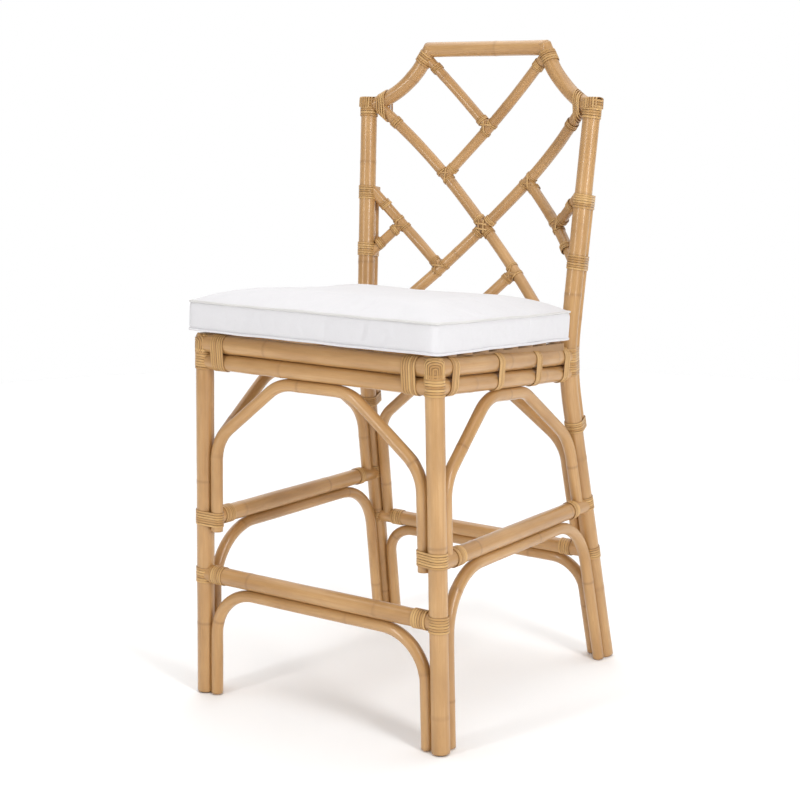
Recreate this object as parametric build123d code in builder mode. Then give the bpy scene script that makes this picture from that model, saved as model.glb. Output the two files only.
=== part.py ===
from build123d import *
import os

os.makedirs("parts", exist_ok=True)

# ---------------------------------------------------------------- driving dimensions, mm
# X to the sitter's left is minus, the front faces -Y, Z is up and the floor is Z = 0.
FRONT_Y = -280.3            # Y of the front leg axes
LEG_R = 15.5                # legs and back posts
ARCH_R = 10.5               # bent arch poles
UPPER_RAIL_R = 16.0         # upper seat rails
LOWER_RAIL_R = 14.5         # lower seat rails
STRETCHER_R = 15.0          # footrest and side stretchers
BACK_STRETCHER_R = 14.0
BACKING_R = 9.0             # backing poles behind the posts
CROWN_R = 13.8              # top rail and shoulders
LONG_LATTICE_R = 10.5       # crossing diagonals of the back
LATTICE_R = 10.0            # the other lattice poles
BUTT_R = 9.6                # those that butt against a pole of LATTICE_R
STRIP = 1.5                 # thickness of a cane binding
CLEAR = 0.2                 # gap between poles laid side by side

MITRE_X = 124.0             # where the top rail's axis meets the shoulders'
CROWN_H = 565.5             # the top rail up the back, and behind the posts
CROWN_OUT = 24.0

CUSHION_FRONT_Z = 655.1     # underside of the cushion above the front legs
CUSHION_FALL = 0.0708
CUSHION_FRONT = -27.0
CUSHION_BACK = 436.0
CUSHION_FRONT_W = 256.0     # half widths
CUSHION_BACK_W = 243.0
CUSHION_CORNER = 16.0
CUSHION_T = 50.0            # between the two pipings
CUSHION_DOME = ((0, 0), (13, 30), (21, 90))
PIPING_R = 2.6
SLAT_COUNT = 8
SLAT_FIRST = 48.0
SLAT_PITCH = 51.0
SLAT_W = 34.0
SLAT_T = 5.0
SLAT_OVER = 9.0             # slat ends past the side rails' axes
DECK_GAP = 0.4
BEARER_W = 12.0

CAP_FOOT = 589.0            # cane over the front leg tops
CAP_TOP = 651.5
FRONT_WRAP_X = 196.0
BACK_WRAP_X = 183.0
WIDE_WRAP = 28.0
BEND_SAG = 5.2              # how far the bent post's axis stays behind its corner
BACKING_FOOT_BAND = 118.0
TEE_SLEEVE = 26.0
TEE_RING = 12.0
TEE_REACH = 14.0            # across and up from a joint to the ring on the branch

SEAM_FRONT = 618.0          # height of the line between stacked rails, at the front legs
SEAM_BACK = 575.4           # the same at the back posts: the seat falls backwards
RAIL_BACK_Y = FRONT_Y + 457.0
FOOTREST_Z = 221.8
BACK_STRETCHER_Z = 214.8
SIDE_STRETCHER_Z = (319.8, 307.1)
GLIDE_R = 11.0
GLIDE_T = 3.0
GLIDE_NAIL_R = 1.5
GLIDE_NAIL = 14.0
SCREW_R = 2.0
SCREW_HEAD_R = 3.5
SCREW_HEAD_T = 2.5
SCREW_LENGTH = 55.0
SCREW_SET_BACK = 13.0       # screw head from the leg's axis, just under its skin
SCREW_STAGGER = 4.0         # how far the crossing screws of a corner pass each other
LEG_CROWN_R = 7.0           # rounding of the front leg tops
BACKING_BEVEL = 40.0        # length of the slanting cut at the foot of a backing pole
BACKING_TOP = 300.0         # distances along the post from its bend
BACKING_FOOT = 135.0

# Axis points of the right-hand leg and post; the left ones are mirrored in X.
FRONT_FOOT = Vector(250.7, FRONT_Y, 0)
FRONT_TOP = Vector(235.3, FRONT_Y, SEAM_FRONT)
BACK_FOOT = Vector(255.4, FRONT_Y + 572.3, 0)
BACK_BEND = Vector(222.0, FRONT_Y + 453.6, SEAM_BACK)
BACK_TOP = Vector(241.2, FRONT_Y + 500.2, 1044.0)
LEG_TOP_Z = 650.0
BEND_R = 450.0

# The back's own plane: X across, UP along the leaning posts, OUT towards the rear.
BACK_ORIGIN = Vector(0, BACK_BEND.Y, BACK_BEND.Z)
UP = Vector(0, BACK_TOP.Y - BACK_BEND.Y, BACK_TOP.Z - BACK_BEND.Z).normalized()
OUT = Vector(0, UP.Z, -UP.Y)

SIDES = {"left": -1, "right": 1}


# ---------------------------------------------------------------- helpers
def mirrored(point, side):
    return Vector(side * point.X, point.Y, point.Z)


def at_height(low, high, z):
    """Point of the straight line low-high at height z."""
    return low + (high - low) * ((z - low.Z) / (high.Z - low.Z))


def front_leg(side, z):
    return mirrored(at_height(FRONT_FOOT, FRONT_TOP, z), side)


def back_leg(side, z):
    return mirrored(at_height(BACK_FOOT, BACK_BEND, z), side)


def bow(x, h):
    """How far the lattice bulges to the rear of the posts' plane."""
    depth = 60 - 5.8e-4 * (h - 320) ** 2
    return depth * (1 - min(abs(x) / 222, 1) ** 3.5)


def on_back(x, h, out=None):
    """A point of the back: x across, h up the lean, out behind the posts' plane."""
    return BACK_ORIGIN + Vector(x, 0, 0) + UP * h + OUT * (bow(x, h) if out is None else out)


def save(piece, label):
    piece.part.label = label
    export_step(piece.part, f"parts/{label}.step")


def pole(points, radius, bends=None, smooth=False, cuts=(), floor=None, crown=None):
    """Round pole along a run of points, with the given bend radii, less its neighbours."""
    with BuildPart() as piece:
        with BuildLine() as run:
            if smooth:
                Spline(*points)
            elif bends is None:
                Polyline(*points)
            else:
                FilletPolyline(*points, radius=bends)
        with BuildSketch(Plane(origin=run.line @ 0, z_dir=run.line % 0)):
            Circle(radius)
        sweep()
        if floor is not None:
            split(bisect_by=Plane.XY.offset(floor), keep=Keep.TOP)
        if crown is not None:
            fillet(piece.edges().group_by(Axis.Z)[-1], radius=crown)
        for neighbour in cuts:
            add(neighbour.part, mode=Mode.SUBTRACT)
        if len(piece.solids()) > 1:
            # The tips that come out beyond a coped joint are cut off.
            add(piece.solids().sort_by(SortBy.VOLUME)[-1], mode=Mode.REPLACE)
    return piece


def band(centre, axis, members, width, cuts=(), thickness=STRIP):
    """Cane wound round poles; members are (a point of the pole's axis, its direction, radius)."""
    plane = Plane(origin=centre, z_dir=axis)
    with BuildPart() as piece:
        with BuildSketch(plane):
            with BuildLine():
                for point, along, radius in members:
                    reach = (centre - point).dot(plane.z_dir) / along.dot(plane.z_dir)
                    spot = plane.to_local_coords(point + along * reach)
                    CenterArc((spot.X, spot.Y), radius + thickness, 0, 360)
            make_hull()
        extrude(amount=width / 2, both=True)
        for neighbour in cuts:
            add(neighbour.part, mode=Mode.SUBTRACT)
    return piece


# ---------------------------------------------------------------- axes of the straight members
FRONT_DIR = (FRONT_TOP - FRONT_FOOT).normalized()
BACK_DIR = (BACK_BEND - BACK_FOOT).normalized()
POST_DIR = (BACK_TOP - BACK_BEND).normalized()
RAIL_FRONT = Vector(FRONT_TOP.X, FRONT_Y, SEAM_FRONT)
SEAM_FALL = (SEAM_BACK - SEAM_FRONT) / (BACK_BEND.Y - FRONT_Y)
RAIL_BACK = Vector(BACK_BEND.X, RAIL_BACK_Y, SEAM_FRONT + SEAM_FALL * (RAIL_BACK_Y - FRONT_Y))
SIDE_RAIL_DIR = (RAIL_BACK - RAIL_FRONT).normalized()
RAIL_UP = Vector(0, -SEAM_FALL, 1).normalized()
RAIL_LEVELS = {"upper": (UPPER_RAIL_R + CLEAR / 2, UPPER_RAIL_R),
               "lower": (-LOWER_RAIL_R - CLEAR / 2, LOWER_RAIL_R)}


def side_rail_at(y, level, side):
    """Point of a side rail's axis, y millimetres behind the front legs."""
    along = RAIL_FRONT + SIDE_RAIL_DIR * (y / SIDE_RAIL_DIR.Y)
    return mirrored(along + RAIL_UP * level, side)


def member_ends():
    """Both end points of every straight member, with the pole it is screwed through."""
    ends = []
    for side in SIDES.values():
        ends.append((front_leg(side, FOOTREST_Z), Vector(-side, 0, 0)))
        ends.append((back_leg(side, BACK_STRETCHER_Z), Vector(-side, 0, 0)))
        ends.append((front_leg(side, SIDE_STRETCHER_Z[0]), Vector(0, 1, 0)))
        ends.append((back_leg(side, SIDE_STRETCHER_Z[1]), Vector(0, -1, 0)))
        for level, _ in RAIL_LEVELS.values():
            inward = Vector(-side, 0, 0)
            ends.append((mirrored(RAIL_FRONT, side) + Vector(0, 0, level), inward))
            ends.append((mirrored(RAIL_BACK, side) + Vector(0, 0, level), inward))
            ends.append((side_rail_at(0, level, side), SIDE_RAIL_DIR_OF[side]))
            ends.append((side_rail_at(457, level, side), SIDE_RAIL_DIR_OF[side] * -1))
    return ends


SIDE_RAIL_DIR_OF = {side: mirrored(SIDE_RAIL_DIR, side) for side in SIDES.values()}

# ---------------------------------------------------------------- glides and screws
with BuildPart() as glides:
    with Locations(*[leg(s, 0) for s in SIDES.values() for leg in (front_leg, back_leg)]):
        Cylinder(GLIDE_R, GLIDE_T, align=(Align.CENTER, Align.CENTER, Align.MIN))
        with Locations((0, 0, GLIDE_T)):
            Cylinder(GLIDE_NAIL_R, GLIDE_NAIL, align=(Align.CENTER, Align.CENTER, Align.MIN))
save(glides, "glides")

with BuildPart() as screws:
    for joint, inward in member_ends():
        # The two screws that meet in one leg pass above and below each other.
        lift = SCREW_STAGGER if abs(inward.X) > 0.5 else -SCREW_STAGGER
        head = joint - inward * SCREW_SET_BACK + Vector(0, 0, lift)
        with BuildSketch(Plane(origin=head, z_dir=inward)):
            Circle(SCREW_HEAD_R)
        extrude(amount=SCREW_HEAD_T)
        with BuildSketch(Plane(origin=head, z_dir=inward)):
            Circle(SCREW_R)
        extrude(amount=SCREW_LENGTH)
save(screws, "frame_screws")

# ---------------------------------------------------------------- legs, posts, backing poles
front_legs = {}
back_posts = {}
backing = {}
rear_normal = Vector(0, BACK_DIR.Z, -BACK_DIR.Y).normalized()
bisector = (OUT + rear_normal).normalized()
beside = LEG_R + BACKING_R + CLEAR
for name, side in SIDES.items():
    rise = [front_leg(side, -20), front_leg(side, LEG_TOP_Z)]
    front_legs[name] = pole(rise, LEG_R, cuts=[glides, screws], floor=GLIDE_T, crown=LEG_CROWN_R)
    rise = [back_leg(side, -20), mirrored(BACK_BEND, side), mirrored(BACK_TOP, side)]
    back_posts[name] = pole(rise, LEG_R, bends=BEND_R, cuts=[glides, screws], floor=GLIDE_T)
    save(front_legs[name], f"leg_front_{name}")
    save(back_posts[name], f"post_back_{name}")

    head = mirrored(BACK_BEND + POST_DIR * BACKING_TOP + OUT * beside, side)
    knee = mirrored(BACK_BEND + bisector * (beside / bisector.dot(OUT)), side)
    toe = mirrored(BACK_BEND - BACK_DIR * BACKING_FOOT + rear_normal * beside, side)
    toe_inner = mirrored(BACK_BEND - BACK_DIR * BACKING_FOOT + rear_normal * (LEG_R + 1), side)
    bevel = mirrored(rear_normal * BACKING_BEVEL - BACK_DIR * 2 * BACKING_R, side)
    with BuildPart() as lashed_pole:
        with BuildLine() as run:
            FilletPolyline(head, knee, toe, radius=BEND_R - beside)
        with BuildSketch(Plane(origin=head, z_dir=run.line % 0)):
            Circle(BACKING_R)
        sweep()
        split(bisect_by=Plane(origin=toe_inner, z_dir=bevel), keep=Keep.BOTTOM)
    backing[name] = lashed_pole
    save(lashed_pole, f"backing_{name}")

# ---------------------------------------------------------------- seat rails
rails = {}
posts = list(back_posts.values())
legs = list(front_legs.values())
for level, (lift, radius) in RAIL_LEVELS.items():
    for where, corner, uprights in (("front", RAIL_FRONT, legs), ("back", RAIL_BACK, posts)):
        ends = [mirrored(corner, side) + Vector(0, 0, lift) for side in (-1, 1)]
        rails[f"{where}_{level}"] = pole(ends, radius, cuts=uprights + [screws])
for level, (lift, radius) in RAIL_LEVELS.items():
    for name, side in SIDES.items():
        ends = [side_rail_at(0, lift, side), side_rail_at(457, lift, side)]
        across = [rails[f"{where}_{row}"] for where in ("front", "back") for row in RAIL_LEVELS]
        rails[f"{name}_{level}"] = pole(ends, radius, cuts=legs + posts + across + [screws])
for name, rail in rails.items():
    save(rail, f"rail_{name}")

# ---------------------------------------------------------------- footrest and stretchers
uprights = legs + posts + [screws]
footrest = pole([front_leg(-1, FOOTREST_Z), front_leg(1, FOOTREST_Z)], STRETCHER_R, cuts=uprights)
save(footrest, "footrest")
back_ends = [back_leg(-1, BACK_STRETCHER_Z), back_leg(1, BACK_STRETCHER_Z)]
back_stretcher = pole(back_ends, BACK_STRETCHER_R, cuts=uprights)
save(back_stretcher, "stretcher_back")
side_stretchers = {}
for name, side in SIDES.items():
    ends = [front_leg(side, SIDE_STRETCHER_Z[0]), back_leg(side, SIDE_STRETCHER_Z[1])]
    side_stretchers[name] = pole(ends, STRETCHER_R, cuts=uprights)
    save(side_stretchers[name], f"stretcher_{name}")

# ---------------------------------------------------------------- arches
NEXT_TO_LEG = LEG_R + ARCH_R + CLEAR
BEHIND = Vector(0, NEXT_TO_LEG, 0)
BEFORE = Vector(0, -NEXT_TO_LEG / BACK_DIR.Z, 0)
INSIDE = Vector(-NEXT_TO_LEG, 0, 0)
UNDER_RAIL = 2 * LOWER_RAIL_R + ARCH_R + CLEAR


def symmetric(half):
    """A left-to-right run from the points of its right half, foot first."""
    return [mirrored(point, -1) for point in half] + half[::-1]


arches = {}
top_z = SEAM_FRONT - UNDER_RAIL
half = [front_leg(1, z) + INSIDE for z in (302, 465)] + [Vector(73, FRONT_Y, top_z)]
arches["upper_front"] = pole(symmetric(half), ARCH_R, bends=78, cuts=[side_stretchers["left"],
                                                                     side_stretchers["right"]])
top_z = RAIL_BACK.Z - UNDER_RAIL + 0.4
half = [back_leg(1, z) + INSIDE for z in (220, 424)] + [Vector(67, back_leg(1, top_z).Y, top_z)]
arches["upper_back"] = pole(symmetric(half), ARCH_R, bends=78, cuts=[back_stretcher, screws])
top_z = FOOTREST_Z - STRETCHER_R - ARCH_R - CLEAR
half = [front_leg(1, z) + INSIDE for z in (-10, top_z)]
arches["lower_front"] = pole(symmetric(half), ARCH_R, bends=85, floor=GLIDE_T)
top_z = BACK_STRETCHER_Z - BACK_STRETCHER_R - ARCH_R - CLEAR + 0.6
half = [back_leg(1, z) + INSIDE for z in (-10, top_z)]
arches["lower_back"] = pole(symmetric(half), ARCH_R, bends=62, floor=GLIDE_T)
for name, side in SIDES.items():
    under = -UNDER_RAIL
    run = [front_leg(side, z) + BEHIND for z in (322, 448)]
    run += [side_rail_at(y, under, side) for y in (173, 301)]
    run += [back_leg(side, z) + BEFORE for z in (441, 310)]
    arches[f"upper_{name}"] = pole(run, ARCH_R, bends=(65, 80, 65, 100), cuts=[side_stretchers[name]])
    drop = STRETCHER_R + ARCH_R + CLEAR
    run = [front_leg(side, z) + BEHIND for z in (-10, SIDE_STRETCHER_Z[0] - drop - 0.7)]
    run += [back_leg(side, z) + BEFORE for z in (SIDE_STRETCHER_Z[1] - drop + 0.7, -10)]
    arches[f"lower_{name}"] = pole(run, ARCH_R, bends=(100, 110), floor=GLIDE_T)
for name, arch in arches.items():
    level, where = name.split("_")
    save(arch, f"arch_{where}_{level}")

# ---------------------------------------------------------------- crown
def crown_cut(side):
    """The mitre plane between the top rail and a shoulder, its normal towards the shoulder."""
    across = Vector(-side * 0.4925, 0, 0) - UP * 0.870
    normal = across.cross(OUT) * side
    if normal.X * side < 0:
        normal = normal * -1
    return Plane(origin=on_back(side * MITRE_X, CROWN_H, CROWN_OUT), z_dir=normal)


rail_ends = [on_back(x, CROWN_H, CROWN_OUT) for x in (-MITRE_X - 20, MITRE_X + 20)]
with BuildPart() as crown_rail:
    add(pole(rail_ends, CROWN_R).part)
    for side in SIDES.values():
        split(bisect_by=crown_cut(side), keep=Keep.BOTTOM)
save(crown_rail, "crown_rail")

SHOULDER = ((115.5, 579, 24), (132.4, 550.6, 24), (148.4, 524.2, 22), (175.9, 495, 18),
            (203.8, 473.8, 10), (236, 457, 0))
shoulders = {}
for name, side in SIDES.items():
    with BuildPart() as shoulder:
        add(pole([on_back(side * x, h, out) for x, h, out in SHOULDER], CROWN_R, smooth=True).part)
        split(bisect_by=crown_cut(side), keep=Keep.TOP)
        add(back_posts[name].part, mode=Mode.SUBTRACT)
    shoulders[name] = shoulder
    save(shoulder, f"shoulder_{name}")

# ---------------------------------------------------------------- back lattice
LONG_SPOTS = ((-229, 468), (-186, 425), (-148, 387), (-93, 332), (0, 239), (84, 155), (150, 89),
              (213, 26))
LONG_LEFT = [on_back(x, h) for x, h in LONG_SPOTS]
LONG_RIGHT = [mirrored(point, -1) for point in LONG_LEFT]
back_rails = [rails["back_upper"], rails["back_lower"], rails["left_upper"], rails["right_upper"]]
crown = [crown_rail, shoulders["left"], shoulders["right"]]


def half_of_crossing(points, align):
    """The front or rear half of a long diagonal where the other one is notched for it."""
    with BuildPart() as half:
        add(pole(points, LONG_LATTICE_R + CLEAR / 2, smooth=True).part)
        with BuildSketch(Plane(origin=on_back(0, 239), x_dir=(1, 0, 0), z_dir=OUT)):
            Rectangle(60, 60)
        extrude(amount=align * 30, mode=Mode.INTERSECT)
    return half


lattice = {}
rear_notch = half_of_crossing(LONG_RIGHT, 1)
front_notch = half_of_crossing(LONG_LEFT, -1)
ends = posts + back_rails + crown + [screws]
lattice["long_left"] = pole(LONG_LEFT, LONG_LATTICE_R, smooth=True, cuts=ends + [rear_notch])
lattice["long_right"] = pole(LONG_RIGHT, LONG_LATTICE_R, smooth=True, cuts=ends + [front_notch])

# Each remaining pole: its points across and up the back, and what its two ends are coped to.
beside_posts = posts + list(backing.values())
BRANCHES = {
    "top_right": (((134, 559), (60, 485), (-2, 423), (-93, 332)), crown + [lattice["long_left"]]),
    "top_left": (((-134, 555), (-70, 491), (-2, 423)), crown + ["top_right"]),
    "side_right": (((88, 327), (166, 246), (236, 167)), beside_posts + [lattice["long_right"]]),
    "stub_right": (((237, 315), (166, 246)), beside_posts + ["side_right"]),
    "side_left": (((-237, 312), (-172, 237), (-134, 200), (-84, 156)),
                  beside_posts + [lattice["long_right"]]),
    "stub_left": (((-237, 159), (-172, 237)), beside_posts + ["side_left"]),
    "foot": (((79, 159), (20, 99), (-58, 20)), back_rails + [lattice["long_left"]]),
}
for name, (spots, neighbours) in BRANCHES.items():
    cuts = [lattice[n] if isinstance(n, str) else n for n in neighbours]
    radius = BUTT_R if name in ("top_left", "stub_right", "stub_left") else LATTICE_R
    lattice[name] = pole([on_back(x, h) for x, h in spots], radius, smooth=True, cuts=cuts)
for name, stick in lattice.items():
    save(stick, f"lattice_{name}")

# ---------------------------------------------------------------- seat deck
def cushion_level(y):
    """Height of the cushion's underside, y millimetres behind the front legs."""
    return CUSHION_FRONT_Z - CUSHION_FALL * y


SLAT_YS = [SLAT_FIRST + i * SLAT_PITCH for i in range(SLAT_COUNT)]
with BuildPart() as slats:
    for y in SLAT_YS:
        reach = side_rail_at(y, 0, 1).X + SLAT_OVER
        level = cushion_level(y) - DECK_GAP - SLAT_T / 2
        fall = Plane(origin=(0, FRONT_Y + y, level), x_dir=(1, 0, 0), z_dir=(0, CUSHION_FALL, 1))
        with BuildSketch(fall.offset(-SLAT_T / 2)):
            SlotOverall(2 * reach, SLAT_W)
        extrude(amount=SLAT_T)
save(slats, "seat_slats")

with BuildPart() as bearers:
    for side in SIDES.values():
        near, far = SLAT_YS[0] - SLAT_W / 2, SLAT_YS[-1] + SLAT_W / 2
        rail_side = side_rail_at((near + far) / 2, 0, side).X
        with BuildSketch(Plane(origin=(rail_side, 0, 0), x_dir=(0, 1, 0), z_dir=(1, 0, 0))):
            with BuildLine():
                Polyline(*[(FRONT_Y + y, cushion_level(y) - DECK_GAP - SLAT_T - 0.05 - drop)
                           for y, drop in ((near, 0), (far, 0), (far, 16), (near, 8))], close=True)
            make_face()
        extrude(amount=BEARER_W / 2, both=True)
    for rail in ("left_upper", "right_upper"):
        add(rails[rail].part, mode=Mode.SUBTRACT)
save(bearers, "seat_bearers")

# ---------------------------------------------------------------- cushion
tilt = Plane(origin=(0, FRONT_Y, CUSHION_FRONT_Z), x_dir=(1, 0, 0), z_dir=(0, CUSHION_FALL, 1))
CUSHION_EDGE = ((-CUSHION_FRONT_W, CUSHION_FRONT), (CUSHION_FRONT_W, CUSHION_FRONT),
                (CUSHION_BACK_W, CUSHION_BACK), (-CUSHION_BACK_W, CUSHION_BACK))


def cushion_outline(inset, corner):
    """The cushion's outline, drawn in from its edge and rounded at the corners."""
    with BuildSketch() as outline:
        with BuildLine():
            Polyline(*CUSHION_EDGE, close=True)
        make_face()
        fillet(outline.vertices(), radius=corner + inset)
        if inset:
            offset(amount=-inset)
    return outline.sketch


pipings = {}
for name, height in (("bottom", PIPING_R), ("top", CUSHION_T)):
    with BuildPart() as cord:
        seam = tilt.offset(height)
        with BuildLine() as loop:
            add(seam.from_local_coords(cushion_outline(0, CUSHION_CORNER)).wires()[0])
        start = loop.edges().sort_by(Axis.X)[-1]
        with BuildSketch(Plane(origin=loop.wires()[0] @ 0, z_dir=loop.wires()[0] % 0)):
            Circle(PIPING_R)
        sweep(path=loop.wires()[0], transition=Transition.RIGHT)
    pipings[name] = cord
    save(cord, f"piping_{name}")

with BuildPart() as cushion:
    with BuildSketch(tilt):
        add(cushion_outline(0, CUSHION_CORNER))
    extrude(amount=CUSHION_T)
    for height, inset in CUSHION_DOME:
        with BuildSketch(tilt.offset(CUSHION_T + height)):
            add(cushion_outline(inset, CUSHION_CORNER))
    loft()
    for cord in pipings.values():
        add(cord.part, mode=Mode.SUBTRACT)
save(cushion, "cushion")

# ---------------------------------------------------------------- cane bindings
ACROSS = Vector(1, 0, 0)
LEG = (FRONT_FOOT, FRONT_DIR, LEG_R)
SPLAY = (BACK_FOOT, BACK_DIR, LEG_R)
POST = (BACK_TOP, POST_DIR, LEG_R)
POST_BACKING = (BACK_BEND + OUT * beside, POST_DIR, BACKING_R)
SPLAY_BACKING = (BACK_BEND + rear_normal * beside, BACK_DIR, BACKING_R)
RAIL_PAIRS = {
    "front": [(RAIL_FRONT + Vector(0, 0, lift), ACROSS, r) for lift, r in RAIL_LEVELS.values()],
    "back": [(RAIL_BACK + Vector(0, 0, lift), ACROSS, r) for lift, r in RAIL_LEVELS.values()],
    "side": [(side_rail_at(0, lift, 1), SIDE_RAIL_DIR, r) for lift, r in RAIL_LEVELS.values()],
}
right_rails = [rails[f"right_{level}"] for level in RAIL_LEVELS]
front_rails = [rails[f"front_{level}"] for level in RAIL_LEVELS]
rear_rails = [rails[f"back_{level}"] for level in RAIL_LEVELS]
leg, post, backing_pole = front_legs["right"], back_posts["right"], backing["right"]
side_stretcher = side_stretchers["right"]


def bind(label, pieces, cuts, both_sides=True, left_cuts=()):
    """Save a set of bindings as one node, less the poles they lie on."""
    with BuildPart() as group:
        for piece in pieces:
            add(piece.part)
        for neighbour in cuts:
            add(neighbour.part, mode=Mode.SUBTRACT)
        if both_sides:
            mirror(about=Plane.YZ)
        for neighbour in left_cuts:
            add(neighbour.part, mode=Mode.SUBTRACT)
    save(group, f"cane_{label}")
    return group


def ring(member, reach, width):
    """A binding round one pole, centred at a distance along it."""
    point, along, radius = member
    return band(point + along * reach, along, [member], width)


with BuildPart() as cap:
    add(band(front_leg(1, (CAP_FOOT + CAP_TOP) / 2), FRONT_DIR, [LEG], CAP_TOP - CAP_FOOT).part)
    fillet(cap.edges().group_by(Axis.Z)[-1], radius=LEG_CROWN_R + STRIP)
cane_caps = bind("front_corner", [cap], [leg, screws] + front_rails + right_rails)

wraps = [band(Vector(FRONT_WRAP_X, FRONT_Y, SEAM_FRONT), ACROSS, RAIL_PAIRS["front"], WIDE_WRAP),
         band(Vector(BACK_WRAP_X, RAIL_BACK_Y, RAIL_BACK.Z), ACROSS, RAIL_PAIRS["back"], WIDE_WRAP)]
cross_cuts = front_rails + rear_rails + [lattice["long_left"], screws] + right_rails
cane_cross_rails = bind("cross_rails", wraps, cross_cuts)

wraps = [band(side_rail_at(y, 0, 1), SIDE_RAIL_DIR, RAIL_PAIRS["side"], width)
         for y, width in ((38, 22), (426, 20))]
deck_cuts = [screws, cane_cross_rails, bearers, slats]
bind("side_rail_ends", wraps, right_rails + rear_rails + deck_cuts)
wraps = [band(side_rail_at(y, 0, 1), SIDE_RAIL_DIR, RAIL_PAIRS["side"], 20) for y in (189, 321)]
bind("side_rail_loops", wraps, right_rails + [bearers, arches["upper_right"]])

bend_mid = BACK_BEND + bisector * BEND_SAG
up_bend = (POST_DIR + BACK_DIR).normalized()
bend_backing = (BACK_BEND + bisector * (beside + BEND_SAG), up_bend, BACKING_R)
corner = band(bend_mid + up_bend * 6, up_bend, [(bend_mid, up_bend, LEG_R + 0.6), bend_backing], 52)
corner_cuts = [post, backing_pole, screws, lattice["long_left"]] + right_rails + rear_rails
bind("back_corner", [corner], corner_cuts + [cane_cross_rails])

foot_member = (front_leg(1, 302) + INSIDE, FRONT_DIR, ARCH_R)
lashings = [band(front_leg(1, 320.5), FRONT_DIR, [LEG, foot_member], 33),
            band(front_leg(1, FOOTREST_Z - 2), FRONT_DIR, [LEG], 28)]
front_cuts = [leg, screws, footrest, side_stretcher, arches["upper_front"], arches["upper_right"],
              arches["lower_front"], arches["lower_right"]]
cane_front = bind("front_legs", lashings, front_cuts)

lashings = [band(back_leg(1, z), BACK_DIR, [SPLAY], width) for z, width in ((312, 25), (214, 22))]
rear_cuts = [post, screws, back_stretcher, side_stretcher, arches["upper_back"],
             arches["upper_right"], arches["lower_back"], arches["lower_right"]]
cane_back = bind("back_legs", lashings, rear_cuts)

side_run = back_leg(1, SIDE_STRETCHER_Z[1]) - front_leg(1, SIDE_STRETCHER_Z[0])
SIDE_STRETCHER = (front_leg(1, SIDE_STRETCHER_Z[0]), side_run.normalized(), STRETCHER_R)
BACK_STRETCHER = (back_leg(1, BACK_STRETCHER_Z), ACROSS * -1, BACK_STRETCHER_R)
rings = [ring((Vector(0, FRONT_Y, FOOTREST_Z), ACROSS, STRETCHER_R), 213, 28),
         ring(BACK_STRETCHER, 51, 24), ring(SIDE_STRETCHER, 53, 26), ring(SIDE_STRETCHER, 452, 18)]
bind("stretchers", rings, [footrest, side_stretcher, back_stretcher, screws])

toe_spot = BACK_BEND - BACK_DIR * BACKING_FOOT_BAND
band_foot = band(toe_spot, BACK_DIR, [SPLAY, SPLAY_BACKING], 20)
bind("backing_foot", [band_foot], [post, backing_pole, arches["upper_back"], arches["upper_right"]])

bands = [band(BACK_BEND + POST_DIR * h, POST_DIR, [POST, POST_BACKING], width)
         for h, width in ((293, 26), (184, 26))]
post_cuts = [post, backing_pole, lattice["side_right"], lattice["stub_right"]]
left_lattice = [lattice["side_left"], lattice["stub_left"]]
cane_posts = bind("posts", bands, post_cuts, left_cuts=left_lattice)

with BuildPart() as cap:
    add(band(BACK_TOP - POST_DIR * 16, POST_DIR, [POST], 35).part)
cane_tops = bind("post_tops", [cap], [post, screws, shoulders["right"], lattice["long_right"]])


def back_member(x, h, dx, dh, radius, out=None):
    """A pole of the back as a member for a band: where it is, which way it runs, its radius."""
    start, end = (on_back(x + k * dx, h + k * dh, out) for k in (-10, 10))
    return on_back(x, h, out), (end - start).normalized(), radius


shoulder_run = (on_back(148.4, 524.2, 22) - on_back(132.4, 550.6, 24)).normalized()
shoulder_top = (on_back(132.4, 550.6, 24), shoulder_run, CROWN_R + 0.3)
shoulder_end = (on_back(203.8, 473.8, 10), (on_back(236, 457, 0) - on_back(175.9, 495, 18)).normalized(),
                CROWN_R + 2)
long_end = back_member(206, 445, 1, 1, LONG_LATTICE_R + 3.5)
bands = [ring(shoulder_top, 3, 22), band(on_back(211, 460, 6), ACROSS, [shoulder_end, long_end], 16),
         ring(back_member(190, 429, 1, 1, LONG_LATTICE_R), 0, 13)]
crown_cuts = [shoulders["right"], lattice["long_right"], lattice["top_right"]]
bind("crown", bands, crown_cuts, left_cuts=[lattice["top_left"]])

# ---------------------------------------------------------------- cane at the lattice joints
# Each tee: the joint, the through pole, its run and radius, then the branch and its run.
TEES = (
    ((-2, 423), "top_right", (1, 1), LATTICE_R, "top_left", (-1, 1)),
    ((-93, 332), "long_left", (1, -1), LONG_LATTICE_R, "top_right", (1, 1)),
    ((88, 327), "long_right", (1, 1), LONG_LATTICE_R, "side_right", (1, -1.04)),
    ((166, 246), "side_right", (0.93, -1), LATTICE_R, "stub_right", (1, 0.97)),
    ((-172, 237), "side_left", (1, -1.05), LATTICE_R, "stub_left", (-0.84, -1)),
    ((-84, 156), "long_right", (1, 1), LONG_LATTICE_R, "side_left", (-1, 0.88)),
    ((79, 159), "long_left", (1, -1), LONG_LATTICE_R, "foot", (-1, -1)),
)
tees = []
for (x, h), through, (dx, dh), radius, branch, (bx, bh) in TEES:
    with BuildPart() as sleeve:
        add(ring(back_member(x, h, dx, dh, radius), 0, TEE_SLEEVE).part)
        for stick in (through, branch):
            add(lattice[stick].part, mode=Mode.SUBTRACT)
    with BuildPart() as collar:
        out_x, out_h = x + TEE_REACH * bx, h + TEE_REACH * bh
        add(ring(back_member(out_x, out_h, bx, bh, LATTICE_R), 0, TEE_RING).part)
        add(lattice[branch].part, mode=Mode.SUBTRACT)
    tees += [sleeve, collar]
bind("tees", tees, [], both_sides=False)
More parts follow.
